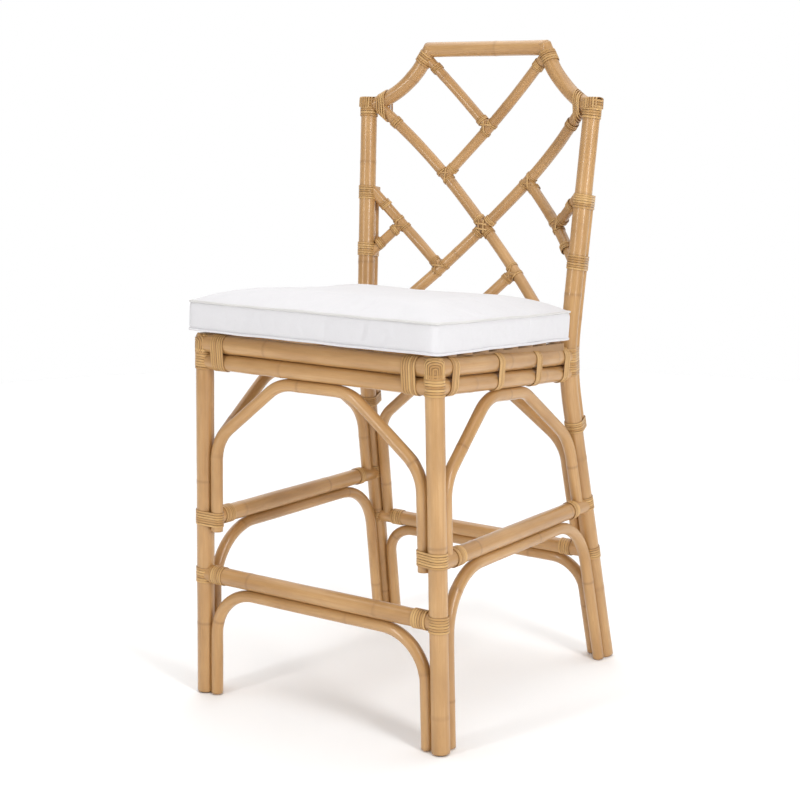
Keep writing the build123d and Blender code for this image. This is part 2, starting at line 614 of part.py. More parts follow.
crossing = [ring(back_member(0, 239, 1, slope, LONG_LATTICE_R), 0, 2 * TEE_SLEEVE - 6)
            for slope in (-1, 1)]
bind("crossing", crossing, [lattice["long_left"], lattice["long_right"]], both_sides=False)

# Rings where the lattice ends at the posts and the shoulders.
ENDS = (((-202, 272), -1.16, "side_left"), ((206, 285), 0.97, "stub_right"), ((-206, 196.5), 1.2, "stub_left"),
        ((199, 208), -1.1, "side_right"), ((110, 535), 1, "top_right"), ((-110, 531), -1, "top_left"))
end_rings = []
for (x, h), slope, stick in ENDS:
    with BuildPart() as collar:
        add(ring(back_member(x, h, 1, slope, LATTICE_R), 0, 13).part)
        for neighbour in (lattice[stick], post, back_posts["left"], cane_posts):
            add(neighbour.part, mode=Mode.SUBTRACT)
    end_rings.append(collar)
bind("lattice_ends", end_rings, [], both_sides=False)
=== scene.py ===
import math
import random

import bpy
from mathutils import Matrix, Vector
from mathutils.kdtree import KDTree


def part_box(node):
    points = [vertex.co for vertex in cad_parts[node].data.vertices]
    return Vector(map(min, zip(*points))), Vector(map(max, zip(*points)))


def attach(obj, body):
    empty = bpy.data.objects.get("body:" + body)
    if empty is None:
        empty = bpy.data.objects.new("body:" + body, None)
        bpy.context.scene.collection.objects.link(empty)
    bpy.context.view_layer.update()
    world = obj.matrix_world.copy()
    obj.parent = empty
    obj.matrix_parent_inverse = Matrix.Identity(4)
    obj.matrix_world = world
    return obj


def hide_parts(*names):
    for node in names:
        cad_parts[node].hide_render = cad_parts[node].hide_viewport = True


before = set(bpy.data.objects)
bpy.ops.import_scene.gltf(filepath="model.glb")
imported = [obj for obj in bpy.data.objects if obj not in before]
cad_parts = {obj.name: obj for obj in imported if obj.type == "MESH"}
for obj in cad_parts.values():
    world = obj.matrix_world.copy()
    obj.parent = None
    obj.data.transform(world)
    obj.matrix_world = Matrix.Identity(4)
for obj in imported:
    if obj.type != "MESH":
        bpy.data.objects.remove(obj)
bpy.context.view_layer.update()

MM = 0.001
FRAME_BODY = "frame"
CUSHION_BODY = "cushion"

# ---------------------------------------------------------------- sizes, in millimetres
low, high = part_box("leg_front_right")
FRONT_Y = (low[1] + high[1]) / 2 / MM
LEG_R = (high[1] - low[1]) / 2 / MM
ARCH_R = 10.5
UPPER_RAIL_R = 16.0
LOWER_RAIL_R = 14.5
STRETCHER_R = 15.0
BACK_STRETCHER_R = 14.0
BACKING_R = 9.0
CROWN_R = 13.8
LONG_R = 10.5
LATTICE_R = 10.0
BUTT_R = 9.6
GAP = 0.2
CANE = 1.6                  # thickness of a strip of cane
SEAM_FRONT = 618.0
SEAM_BACK = 575.4
FOOTREST_Z = 221.8
BACK_STRETCHER_Z = 214.8
SIDE_STRETCHER_Z = (319.8, 307.1)
FLOOR_GAP = 3.0             # the glides hold the poles this far off the floor
POLE_SIDES = 28             # faces round a pole
STRIP_SIDES = 8             # faces round a strip of cane

FRONT_FOOT = Vector((250.7, FRONT_Y, 0))
FRONT_TOP = Vector((235.3, FRONT_Y, SEAM_FRONT))
BACK_FOOT = Vector((255.4, FRONT_Y + 572.3, 0))
BACK_BEND = Vector((222.0, FRONT_Y + 453.6, SEAM_BACK))
BACK_TOP = Vector((241.2, FRONT_Y + 500.2, 1044.0))
BACK_ORIGIN = Vector((0, BACK_BEND.y, BACK_BEND.z))
UP = Vector((0, BACK_TOP.y - BACK_BEND.y, BACK_TOP.z - BACK_BEND.z)).normalized()
OUT = Vector((0, UP.z, -UP.y))
ACROSS = Vector((1, 0, 0))
RAIL_BACK_Y = FRONT_Y + 457.0
SIDES = (-1, 1)
SIDE_NAMES = {-1: "left", 1: "right"}

BEND_R = 450.0
LEG_TOP = 650.0
LEG_CROWN = 7.0
NEXT_TO_LEG = LEG_R + ARCH_R + GAP
UNDER_RAIL = 2 * LOWER_RAIL_R + ARCH_R + GAP
BOW_DEPTH = 60              # the lattice bows out behind its posts, most at BOW_MIDDLE up the back
BOW_MIDDLE = 320
BOW_FALL = 5.8e-4
BOW_HALF_SPAN = 222
BOW_POWER = 3.5


def mirrored(point, side):
    return Vector((point.x * side, point.y, point.z))


def at_height(foot, top, z):
    return foot + (top - foot) * ((z - foot.z) / (top.z - foot.z))


def front_leg(side, z):
    return mirrored(at_height(FRONT_FOOT, FRONT_TOP, z), side)


def back_leg(side, z):
    return mirrored(at_height(BACK_FOOT, BACK_BEND, z), side)


def on_back(x, h, out=None):
    """A point of the back: x across, h up the lean, out behind the plane of the posts."""
    if out is None:
        depth = BOW_DEPTH - BOW_FALL * (h - BOW_MIDDLE) ** 2
        out = depth * (1 - min(abs(x) / BOW_HALF_SPAN, 1) ** BOW_POWER)
    return BACK_ORIGIN + ACROSS * x + UP * h + OUT * out


FRONT_DIR = (FRONT_TOP - FRONT_FOOT).normalized()
BACK_DIR = (BACK_BEND - BACK_FOOT).normalized()
POST_DIR = (BACK_TOP - BACK_BEND).normalized()
REAR = Vector((0, BACK_DIR.z, -BACK_DIR.y)).normalized()
BISECTOR = (OUT + REAR).normalized()
SEAM_FALL = (SEAM_BACK - SEAM_FRONT) / (BACK_BEND.y - FRONT_Y)
RAIL_FRONT = Vector((FRONT_TOP.x, FRONT_Y, SEAM_FRONT))
RAIL_BACK = Vector((BACK_BEND.x, RAIL_BACK_Y, SEAM_FRONT + SEAM_FALL * (RAIL_BACK_Y - FRONT_Y)))
SIDE_DIR = (RAIL_BACK - RAIL_FRONT).normalized()
RAIL_UP = Vector((0, -SEAM_FALL, 1)).normalized()
RAIL_LEVELS = (("upper", UPPER_RAIL_R + GAP / 2, UPPER_RAIL_R),
               ("lower", -LOWER_RAIL_R - GAP / 2, LOWER_RAIL_R))


def side_rail_at(y, level, side):
    return mirrored(RAIL_FRONT + SIDE_DIR * (y / SIDE_DIR.y) + RAIL_UP * level, side)


# ---------------------------------------------------------------- curves
def bent(points, radii):
    """A polyline with each inner corner rounded to its radius, as closely spaced points."""
    run = [points[0]]
    for k in range(1, len(points) - 1):
        before = (points[k - 1] - points[k]).normalized()
        after = (points[k + 1] - points[k]).normalized()
        turn = math.pi - before.angle(after)
        radius = radii[k - 1] if isinstance(radii, (tuple, list)) else radii
        reach = radius * math.tan(turn / 2)
        inward = (before + after).normalized()
        centre = points[k] + inward * (radius / math.cos(turn / 2))
        start = points[k] + before * reach - centre
        spin = before.cross(after).normalized()
        steps = max(6, int(radius * turn / 5))
        for i in range(steps + 1):
            turned = Matrix.Rotation(-turn * i / steps, 3, spin) @ start
            run.append(centre + turned)
    run.append(points[-1])
    return run


def smooth(points):
    """A smooth curve through the points."""
    if len(points) == 2:
        return list(points)
    ends = [points[0] * 2 - points[1]] + list(points) + [points[-1] * 2 - points[-2]]
    run = []
    for a, b, c, d in zip(ends, ends[1:], ends[2:], ends[3:]):
        gap = (c - b).length
        before = (c - a) * (gap / max((b - a).length + gap, 1e-6))
        after = (d - b) * (gap / max((d - c).length + gap, 1e-6))
        for i in range(12):
            t = i / 12
            run.append(b * (2 * t**3 - 3 * t**2 + 1) + before * (t**3 - 2 * t**2 + t)
                       + c * (3 * t**2 - 2 * t**3) + after * (t**3 - t**2))
    run.append(points[-1])
    return run


def resampled(run, step, closed=False):
    """The same run with evenly spaced points."""
    run = list(run) + ([run[0]] if closed else [])
    total = sum((b - a).length for a, b in zip(run, run[1:]))
    count = max(2, round(total / step))
    spots, travelled, k = [], 0.0, 0
    for i in range(count if closed else count + 1):
        goal = total * i / count
        while k < len(run) - 2 and travelled + (run[k + 1] - run[k]).length < goal:
            travelled += (run[k + 1] - run[k]).length
            k += 1
        piece = run[k + 1] - run[k]
        spots.append(run[k] + piece * min(1.0, (goal - travelled) / max(piece.length, 1e-9)))
    return spots


def tangents(run, closed=False):
    last = len(run) - 1
    out = []
    for i in range(len(run)):
        a = run[i - 1] if i or closed else run[0]
        b = run[(i + 1) % len(run)] if i < last or closed else run[last]
        out.append((b - a).normalized())
    return out


# ---------------------------------------------------------------- materials
PALE = (0.590, 0.345, 0.138)
DEEP = (0.400, 0.210, 0.068)
HONEY = (0.490, 0.262, 0.090)
BROWN = (0.230, 0.105, 0.034)
CANE_LIGHT = (0.690, 0.430, 0.165)
CANE_DARK = (0.440, 0.235, 0.070)
EDGE_BROWN = (0.130, 0.058, 0.018)
CLOTH = (0.700, 0.688, 0.702)
CLOTH_SHADE = (0.640, 0.628, 0.645)
PIPING_GREY = (0.655, 0.640, 0.625)
THREADS = 320.0             # wave scale that gives a thread about every millimetre
PIPING_SHADE = (0.60, 0.58, 0.56)
WOOD_LIGHT = (0.42, 0.26, 0.13)
WOOD_DARK = (0.30, 0.17, 0.08)
BLACK_PLASTIC = (0.020, 0.018, 0.016)
BLACKER_PLASTIC = (0.012, 0.011, 0.010)
STEEL_LIGHT = (0.60, 0.60, 0.58)
STEEL_DARK = (0.45, 0.45, 0.44)


def principled(name):
    material = bpy.data.materials.new(name)
    material.use_nodes = True
    return material, material.node_tree, material.node_tree.nodes["Principled BSDF"]


def attribute_node(tree, name):
    node = tree.nodes.new("ShaderNodeAttribute")
    node.attribute_name = name
    return node


def scaled(tree, vector, factors):
    node = tree.nodes.new("ShaderNodeVectorMath")
    node.operation = "MULTIPLY"
    tree.links.new(vector, node.inputs[0])
    node.inputs[1].default_value = factors
    return node.outputs[0]


def noise(tree, vector, detail=3.0, roughness=0.55):
    node = tree.nodes.new("ShaderNodeTexNoise")
    node.inputs["Scale"].default_value = 1.0
    node.inputs["Detail"].default_value = detail
    node.inputs["Roughness"].default_value = roughness
    tree.links.new(vector, node.inputs["Vector"])
    return node.outputs["Fac"]


def spread(tree, value, low_in, high_in, low_out=0.0, high_out=1.0):
    node = tree.nodes.new("ShaderNodeMapRange")
    for key, number in zip(("From Min", "From Max", "To Min", "To Max"),
                           (low_in, high_in, low_out, high_out)):
        node.inputs[key].default_value = number
    tree.links.new(value, node.inputs["Value"])
    return node.outputs["Result"]


def mixed(tree, factor, first, second, blend="MIX"):
    node = tree.nodes.new("ShaderNodeMix")
    node.data_type = "RGBA"
    node.blend_type = blend
    for socket, value in ((node.inputs[0], factor), (node.inputs[6], first), (node.inputs[7], second)):
        if isinstance(value, (int, float)):
            socket.default_value = value
        elif isinstance(value, tuple):
            socket.default_value = (*value, 1.0)
        else:
            tree.links.new(value, socket)
    return node.outputs[2]


def bumped(tree, shader, height, strength, distance):
    node = tree.nodes.new("ShaderNodeBump")
    node.inputs["Strength"].default_value = strength
    node.inputs["Distance"].default_value = distance
    tree.links.new(height, node.inputs["Height"])
    tree.links.new(node.outputs["Normal"], shader.inputs["Normal"])


def rattan_material():
    material, tree, shader = principled("rattan_skin")
    grain = attribute_node(tree, "grain").outputs["Vector"]
    mark = attribute_node(tree, "mark").outputs["Fac"]
    broad = noise(tree, scaled(tree, grain, (7, 30, 30)), 4.0)
    streak = noise(tree, scaled(tree, grain, (6, 330, 330)), 3.0)
    fibre = noise(tree, scaled(tree, grain, (40, 1300, 1300)), 2.0)
    fleck = noise(tree, scaled(tree, grain, (90, 420, 420)), 2.0)
    colour = mixed(tree, spread(tree, broad, 0.34, 0.66), DEEP, PALE)
    colour = mixed(tree, spread(tree, streak, 0.42, 0.68, 0.0, 0.75), colour, HONEY)
    colour = mixed(tree, spread(tree, fibre, 0.35, 0.7, 0.0, 0.12), colour, BROWN)
    colour = mixed(tree, spread(tree, fleck, 0.70, 0.8, 0.0, 0.35), colour, BROWN)
    colour = mixed(tree, spread(tree, mark, 0.0, 1.0, 0.0, 0.45), colour, BROWN)
    tree.links.new(colour, shader.inputs["Base Color"])
    tree.links.new(spread(tree, streak, 0.3, 0.7, 0.34, 0.5), shader.inputs["Roughness"])
    shader.inputs["Coat Weight"].default_value = 0.55
    shader.inputs["Coat Roughness"].default_value = 0.16
    bumped(tree, shader, streak, 0.22, 0.0014)
    return material


def cane_material():
    material, tree, shader = principled("cane_strip")
    grain = attribute_node(tree, "grain").outputs["Vector"]
    tint = attribute_node(tree, "tint").outputs["Fac"]
    edge = attribute_node(tree, "edge").outputs["Fac"]
    streak = noise(tree, scaled(tree, grain, (60, 2400, 2400)), 3.0)
    cloud = noise(tree, scaled(tree, grain, (35, 60, 60)), 3.0)
    colour = mixed(tree, tint, CANE_DARK, CANE_LIGHT)
    colour = mixed(tree, spread(tree, cloud, 0.35, 0.7, 0.0, 0.4), colour, HONEY)
    colour = mixed(tree, spread(tree, streak, 0.4, 0.75, 0.0, 0.35), colour, BROWN)
    colour = mixed(tree, spread(tree, edge, 0.72, 1.0, 0.0, 0.75), colour, EDGE_BROWN)
    tree.links.new(colour, shader.inputs["Base Color"])
    tree.links.new(spread(tree, streak, 0.3, 0.7, 0.36, 0.55), shader.inputs["Roughness"])
    shader.inputs["Coat Weight"].default_value = 0.2
    shader.inputs["Coat Roughness"].default_value = 0.25
    bumped(tree, shader, streak, 0.3, 0.0003)
    return material


def fabric_material(name, base, shade):
    """Plain woven cotton: two sets of threads, slubs and a faint unevenness."""
    material, tree, shader = principled(name)
    place = tree.nodes.new("ShaderNodeTexCoord").outputs["Object"]
    warp = tree.nodes.new("ShaderNodeTexWave")
    weft = tree.nodes.new("ShaderNodeTexWave")
    for threads, direction in ((warp, "X"), (weft, "Y")):
        threads.bands_direction = direction
        threads.inputs["Scale"].default_value = THREADS
        threads.inputs["Distortion"].default_value = 1.2
        threads.inputs["Detail"].default_value = 2.0
        tree.links.new(place, threads.inputs["Vector"])
    rise = tree.nodes.new("ShaderNodeTexWave")
    rise.bands_direction = "Z"
    rise.inputs["Scale"].default_value = THREADS
    rise.inputs["Distortion"].default_value = 1.2
    tree.links.new(place, rise.inputs["Vector"])
    weave = mixed(tree, 0.5, warp.outputs["Fac"], weft.outputs["Fac"])
    weave = mixed(tree, 0.35, weave, rise.outputs["Fac"])
    cloud = noise(tree, scaled(tree, place, (14, 14, 14)), 4.0)
    slub = noise(tree, scaled(tree, place, (500, 90, 500)), 2.0)
    colour = mixed(tree, spread(tree, cloud, 0.3, 0.7, 0.0, 0.3), base, shade)
    colour = mixed(tree, spread(tree, slub, 0.5, 0.8, 0.0, 0.35), colour, shade)
    tree.links.new(colour, shader.inputs["Base Color"])
    shader.inputs["Roughness"].default_value = 0.92
    shader.inputs["Sheen Weight"].default_value = 0.25
    shader.inputs["Sheen Roughness"].default_value = 0.5
    bumped(tree, shader, weave, 0.25, 0.0005)
    return material


def plain_material(name, light, dark, roughness, metallic=0.0, stretch=(90, 6, 90)):
    material, tree, shader = principled(name)
    place = tree.nodes.new("ShaderNodeTexCoord").outputs["Object"]
    cloud = noise(tree, scaled(tree, place, stretch), 5.0)
    tree.links.new(mixed(tree, cloud, dark, light), shader.inputs["Base Color"])
    tree.links.new(spread(tree, cloud, 0.3, 0.7, roughness - 0.08, roughness + 0.08),
                   shader.inputs["Roughness"])
    shader.inputs["Metallic"].default_value = metallic
    bumped(tree, shader, cloud, 0.2, 0.0005)
    return material


RATTAN = rattan_material()
STRIP_CANE = cane_material()
COVER = fabric_material("cushion_cover", CLOTH, CLOTH_SHADE)
TOP_PIPING = fabric_material("piping_top_cloth", PIPING_GREY, PIPING_SHADE)
LOW_PIPING = fabric_material("piping_bottom_cloth", CLOTH, CLOTH_SHADE)
DECK = plain_material("deck_wood", WOOD_LIGHT, WOOD_DARK, 0.6, stretch=(6, 120, 120))
GLIDE = plain_material("glide_plastic", BLACK_PLASTIC, BLACKER_PLASTIC, 0.5)
STEEL = plain_material("screw_steel", STEEL_LIGHT, STEEL_DARK, 0.35, metallic=1.0)


# ---------------------------------------------------------------- meshes
def new_piece(name, verts, faces, material, body, nodes, values=()):
    """A mesh in metres that rides a body and stands for CAD nodes; values are per-vertex data."""
    mesh = bpy.data.meshes.new(name)
    mesh.from_pydata([v * MM for v in verts], [], faces)
    for label, kind, numbers in values:
        layer = mesh.attributes.new(label, kind, "POINT")
        if kind == "FLOAT":
            layer.data.foreach_set("value", numbers)
        else:
            layer.data.foreach_set("vector", [n for v in numbers for n in v])
    mesh.materials.append(material)
    mesh.shade_smooth()
    piece = bpy.data.objects.new(name, mesh)
    bpy.context.scene.collection.objects.link(piece)
    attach(piece, body)
    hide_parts(*nodes)


FIRST_NODE = (40, 230)      # a pole's first node comes this far along it, and then the next ones
NODE_SPACING = (170, 330)
NODE_REACH = 5.0
NODE_SWELL = 0.028          # how much thicker a pole is at a node


def pole(node, run, radius, seed, crown=0.0):
    """A rattan pole along a run of points: it swells a little at its nodes and wavers between them."""
    chance = random.Random(seed)
    spots = resampled(run, 4.0)
    ways = tangents(spots)
    length = sum((b - a).length for a, b in zip(spots, spots[1:]))
    rings = []
    place = chance.uniform(*FIRST_NODE)
    while place < length:
        rings.append(place)
        place += chance.uniform(*NODE_SPACING)
    phase = [chance.uniform(0, 7) for _ in range(4)]
    shift = chance.uniform(0, 40)
    side = ways[0].orthogonal().normalized()
    verts, grain, mark = [], [], []
    travelled = 0.0
    for i, (spot, way) in enumerate(zip(spots, ways)):
        if i:
            travelled += (spot - spots[i - 1]).length
        side = (side - way * side.dot(way)).normalized()
        other = way.cross(side)
        near = [travelled - ring for ring in rings]
        swell = sum(math.exp(-((d / NODE_REACH) ** 2)) for d in near) * NODE_SWELL
        waver = 0.010 * math.sin(travelled / 47 + phase[0]) + 0.006 * math.sin(travelled / 19 + phase[1])
        girth = radius * (1 + swell + waver)
        from_end = length - travelled
        if crown and from_end < crown:
            girth -= crown - math.sqrt(max(crown**2 - (crown - from_end) ** 2, 0.0))
        line = sum(math.exp(-(((d - 1.5) / 2.0) ** 2)) for d in near)
        for k in range(POLE_SIDES):
            angle = 2 * math.pi * k / POLE_SIDES
            bow = 1 + 0.006 * math.sin(2 * angle + phase[2] + travelled / 160)
            around = (side * math.cos(angle) + other * math.sin(angle)) * girth * bow
            verts.append(spot + around)
            grain.append(((travelled * MM) + shift, math.cos(angle) * radius * MM,
                          math.sin(angle) * radius * MM))
            mark.append(line)
    faces = []
    for i in range(len(spots) - 1):
        for k in range(POLE_SIDES):
            a = i * POLE_SIDES + k
            b = i * POLE_SIDES + (k + 1) % POLE_SIDES
            faces.append((a, b, b + POLE_SIDES, a + POLE_SIDES))
    last = (len(spots) - 1) * POLE_SIDES
    faces.append(tuple(reversed(range(POLE_SIDES))))
    faces.append(tuple(range(last, last + POLE_SIDES)))
    values = (("grain", "FLOAT_VECTOR", grain), ("mark", "FLOAT", mark))
    new_piece(f"{node}_rattan", verts, faces, RATTAN, FRAME_BODY, [node], values)


class Weave:
    """Collects strips of cane into one mesh."""

    def __init__(self, seed):
        self.chance = random.Random(seed)
        self.verts, self.faces, self.grain, self.tint, self.edge = [], [], [], [], []

    def strip(self, spots, outward, sideways, width, closed, thick=CANE):
        """One strip: its middle line, and for each point which way is out and which way is across."""
        tone = self.chance.random()
        shift = self.chance.uniform(0, 20)
        first = len(self.verts)
        travelled = 0.0
        for i, spot in enumerate(spots):
            if i:
                travelled += (spot - spots[i - 1]).length
            for k in range(STRIP_SIDES):
                angle = 2 * math.pi * (k + 0.5) / STRIP_SIDES
                across = math.copysign(abs(math.cos(angle)) ** 0.6, math.cos(angle))
                lift = math.copysign(abs(math.sin(angle)) ** 0.8, math.sin(angle))
                self.verts.append(spot + sideways[i] * (across * width / 2)
                                  + outward[i] * (lift * thick / 2))
                self.grain.append((travelled * MM + shift, across * width / 2 * MM, lift * MM))
                self.tint.append(tone)
                self.edge.append(abs(across))
        count = len(spots)
        for i in range(count if closed else count - 1):
            for k in range(STRIP_SIDES):
                a = first + i * STRIP_SIDES
                b = first + ((i + 1) % count) * STRIP_SIDES
                n = (k + 1) % STRIP_SIDES
                self.faces.append((a + k, a + n, b + n, b + k))
        if not closed:
            last = first + (count - 1) * STRIP_SIDES
            self.faces.append(tuple(reversed(range(first, first + STRIP_SIDES))))
            self.faces.append(tuple(range(last, last + STRIP_SIDES)))

    def turn(self, centre, axis, members, width, lift=0.0):
        """One closed turn round poles; members are (a point of the axis, its direction, radius)."""
        u = axis.orthogonal().normalized()
        v = axis.cross(u)
        cloud = []
        for point, along, radius in members:
            spot = point + along * ((centre - point).dot(axis) / along.dot(axis)) - centre
            reach = radius + CANE / 2 + lift
            for k in range(56):
                angle = 2 * math.pi * k / 56
                cloud.append((spot.dot(u) + reach * math.cos(angle),
                              spot.dot(v) + reach * math.sin(angle)))
        rim = [centre + u * a + v * b for a, b in hull(cloud)]
        spots = resampled(rim, 2.2, closed=True)
        outward = [way.cross(axis).normalized() for way in tangents(spots, closed=True)]
        self.strip(spots, outward, [axis] * len(spots), width, True)

    def lash(self, centre, axis, members, width, turns, tilt=0.05, lift=0.0):
        """Turns side by side over a width, slightly slanted as a wound strip is."""
        lean = (axis + axis.orthogonal().normalized() * tilt).normalized()
        pitch = width / turns
        for i in range(turns):
            offset = (i + 0.5) * pitch - width / 2
            wander = self.chance.uniform(-0.05, 0.05) * pitch
            bulge = lift + self.chance.uniform(0, 0.25)
            self.turn(centre + axis * (offset + wander), lean, members, pitch * 0.97, bulge)

    def ribbon(self, spots, outward, width, step=2.5):
        """An open strip laid over given points, facing the given ways."""
        fine = resampled(spots, step)
        ways = tangents(fine)
        out = []
        for spot in fine:
            near = min(range(len(spots)), key=lambda k: (spots[k] - spot).length)
            out.append(outward[near])
        out = [(o - w * o.dot(w)).normalized() for o, w in zip(out, ways)]
        self.strip(fine, out, [w.cross(o) for w, o in zip(ways, out)], width, False)

    def finish(self, node):
        values = (("grain", "FLOAT_VECTOR", self.grain), ("tint", "FLOAT", self.tint),
                  ("edge", "FLOAT", self.edge))
        new_piece(f"{node}_strips", self.verts, self.faces, STRIP_CANE, FRAME_BODY, [node],
                  values)



def hull(points):
    """The convex outline of points in a plane, anticlockwise."""
    points = sorted(set(points))

    def half(run):
        chain = []
        for p in run:
            while len(chain) > 1:
                (ax, ay), (bx, by) = chain[-2], chain[-1]
                if (bx - ax) * (p[1] - ay) - (by - ay) * (p[0] - ax) > 0:
                    break
                chain.pop()
            chain.append(p)
        return chain[:-1]

    return half(points) + half(reversed(points))


# ---------------------------------------------------------------- legs, posts and rails
INSIDE = -ACROSS * NEXT_TO_LEG
BEHIND = Vector((0, NEXT_TO_LEG, 0))
BEFORE = Vector((0, -NEXT_TO_LEG / BACK_DIR.z, 0))
BESIDE = LEG_R + BACKING_R + GAP
BACKING_HEAD = 300.0        # how far a backing pole runs up and down from the bend of its post
BACKING_TOE = 122.0
TOE_IN = 3.0
SIDE_RAIL_RUN = (2, 455)
# Arches: the heights of foot and knee, half the width of the crest, and the radius of the bends
FRONT_ARCH = (302, 465, 73, 78)
BACK_ARCH = (220, 424, 67, 78)
BACK_CREST_LIFT = 0.4
FRONT_LOW_BEND = 85
BACK_LOW_BEND = 62
BACK_LOW_LIFT = 0.6
SIDE_ARCH_FRONT = (322, 448)
SIDE_ARCH_CREST = (173, 301)
SIDE_ARCH_BACK = (441, 310)
SIDE_BENDS = (65, 80, 65, 100)
SIDE_LOW_BENDS = (100, 110)
SIDE_LOW_TILT = 0.7         # a low side arch drops a little at the front and rises at the back


def both_ways(half):
    return [mirrored(point, -1) for point in half] + half[::-1]


def upper_arch(name, leg, shape, top, seed):
    """An arch between two legs, under a seat rail."""
    foot, knee, crest, bend = shape
    half = [leg(1, z) + INSIDE for z in (foot, knee)] + [Vector((crest, leg(1, top).y, top))]
    pole(name, bent(both_ways(half), bend), ARCH_R, seed)


def lower_arch(name, leg, top, bend, seed):
    """An arch between two legs, from the floor, under a stretcher."""
    half = [leg(1, z) + INSIDE for z in (FLOOR_GAP, top)]
    pole(name, bent(both_ways(half), bend), ARCH_R, seed)


seed = 10
for side in SIDES:
    name = SIDE_NAMES[side]
    seed += 1
    pole(f"leg_front_{name}", [front_leg(side, FLOOR_GAP), front_leg(side, LEG_TOP)], LEG_R, seed,
         crown=LEG_CROWN)
    run = bent([back_leg(side, FLOOR_GAP), mirrored(BACK_BEND, side), mirrored(BACK_TOP, side)], BEND_R)
    pole(f"post_back_{name}", run, LEG_R, seed + 20)
    head = BACK_BEND + POST_DIR * BACKING_HEAD + OUT * BESIDE
    knee = BACK_BEND + BISECTOR * (BESIDE / BISECTOR.dot(OUT))
    toe = BACK_BEND - BACK_DIR * BACKING_TOE + REAR * (BESIDE - TOE_IN)
    run = bent([mirrored(p, side) for p in (head, knee, toe)], BEND_R - BESIDE)
    pole(f"backing_{name}", run, BACKING_R, seed + 40)
    for level, lift, radius in RAIL_LEVELS:
        seed += 1
        run = [side_rail_at(y, lift, side) for y in SIDE_RAIL_RUN]
        pole(f"rail_{name}_{level}", run, radius, seed)
    run = [front_leg(side, SIDE_STRETCHER_Z[0]), back_leg(side, SIDE_STRETCHER_Z[1])]
    pole(f"stretcher_{name}", run, STRETCHER_R, seed + 60)
for level, lift, radius in RAIL_LEVELS:
    for where, corner in (("front", RAIL_FRONT), ("back", RAIL_BACK)):
        seed += 1
        ends = [mirrored(corner, side) + Vector((0, 0, lift)) for side in SIDES]
        pole(f"rail_{where}_{level}", ends, radius, seed)
pole("footrest", [front_leg(-1, FOOTREST_Z), front_leg(1, FOOTREST_Z)], STRETCHER_R, 71)
pole("stretcher_back", [back_leg(-1, BACK_STRETCHER_Z), back_leg(1, BACK_STRETCHER_Z)],
     BACK_STRETCHER_R, 72)

# ---------------------------------------------------------------- arches
upper_arch("arch_front_upper", front_leg, FRONT_ARCH, SEAM_FRONT - UNDER_RAIL, 81)
upper_arch("arch_back_upper", back_leg, BACK_ARCH, RAIL_BACK.z - UNDER_RAIL + BACK_CREST_LIFT, 82)
lower_arch("arch_front_lower", front_leg, FOOTREST_Z - STRETCHER_R - ARCH_R - GAP, FRONT_LOW_BEND, 83)
lower_arch("arch_back_lower", back_leg,
           BACK_STRETCHER_Z - BACK_STRETCHER_R - ARCH_R - GAP + BACK_LOW_LIFT, BACK_LOW_BEND, 84)
drop = STRETCHER_R + ARCH_R + GAP
for side in SIDES:
    run = [front_leg(side, z) + BEHIND for z in SIDE_ARCH_FRONT]
    run += [side_rail_at(y, -UNDER_RAIL, side) for y in SIDE_ARCH_CREST]
    run += [back_leg(side, z) + BEFORE for z in SIDE_ARCH_BACK]
    pole(f"arch_{SIDE_NAMES[side]}_upper", bent(run, SIDE_BENDS), ARCH_R, 85 + side)
    front_knee = SIDE_STRETCHER_Z[0] - drop - SIDE_LOW_TILT
    back_knee = SIDE_STRETCHER_Z[1] - drop + SIDE_LOW_TILT
    run = [front_leg(side, z) + BEHIND for z in (FLOOR_GAP, front_knee)]
    run += [back_leg(side, z) + BEFORE for z in (back_knee, FLOOR_GAP)]
    pole(f"arch_{SIDE_NAMES[side]}_lower", bent(run, SIDE_LOW_BENDS), ARCH_R, 89 + side)

# ---------------------------------------------------------------- crown and lattice
CROWN_HEIGHT = 565.5
CROWN_HALF = 129
CROWN_OUT = 24
# The back's curves run through points: across, up the lean, and out behind the posts where given
SHOULDER = ((121, 571, 24), (132.4, 550.6, 24), (148.4, 524.2, 22), (175.9, 495, 18),
            (203.8, 473.8, 10), (232, 459, 1))
pole("crown_rail", [on_back(x, CROWN_HEIGHT, CROWN_OUT) for x in (-CROWN_HALF, CROWN_HALF)], CROWN_R, 101)
for side in SIDES:
    run = smooth([on_back(side * x, h, out) for x, h, out in SHOULDER])
    pole(f"shoulder_{SIDE_NAMES[side]}", run, CROWN_R, 103 + side)
LATTICE = {
    "long_left": (LONG_R, (-226, 465), (-186, 425), (-148, 387), (-93, 332), (0, 239), (84, 155),
                  (150, 89), (210, 29)),
    "long_right": (LONG_R, (226, 465), (186, 425), (148, 387), (93, 332), (0, 239), (-84, 155),
                   (-150, 89), (-210, 29)),
    "top_right": (LATTICE_R, (128, 553), (60, 485), (-2, 423), (-93, 332)),
    "top_left": (BUTT_R, (-128, 549), (-70, 491), (-2, 423)),
    "side_right": (LATTICE_R, (88, 327), (166, 246), (230, 174)),
    "stub_right": (BUTT_R, (230, 308), (166, 246)),
    "side_left": (LATTICE_R, (-230, 304), (-172, 237), (-134, 200), (-84, 156)),
    "stub_left": (BUTT_R, (-230, 167), (-172, 237)),
    "foot": (LATTICE_R, (79, 159), (20, 99), (-54, 24)),
}
for count, (name, (radius, *spots)) in enumerate(LATTICE.items()):
    pole(f"lattice_{name}", smooth([on_back(x, h) for x, h in spots]), radius, 110 + count)


# ---------------------------------------------------------------- bindings on the legs and rails
def leg_member(side):
    return mirrored(FRONT_FOOT, side), mirrored(FRONT_DIR, side), LEG_R


def splay_member(side):
    return mirrored(BACK_FOOT, side), mirrored(BACK_DIR, side), LEG_R


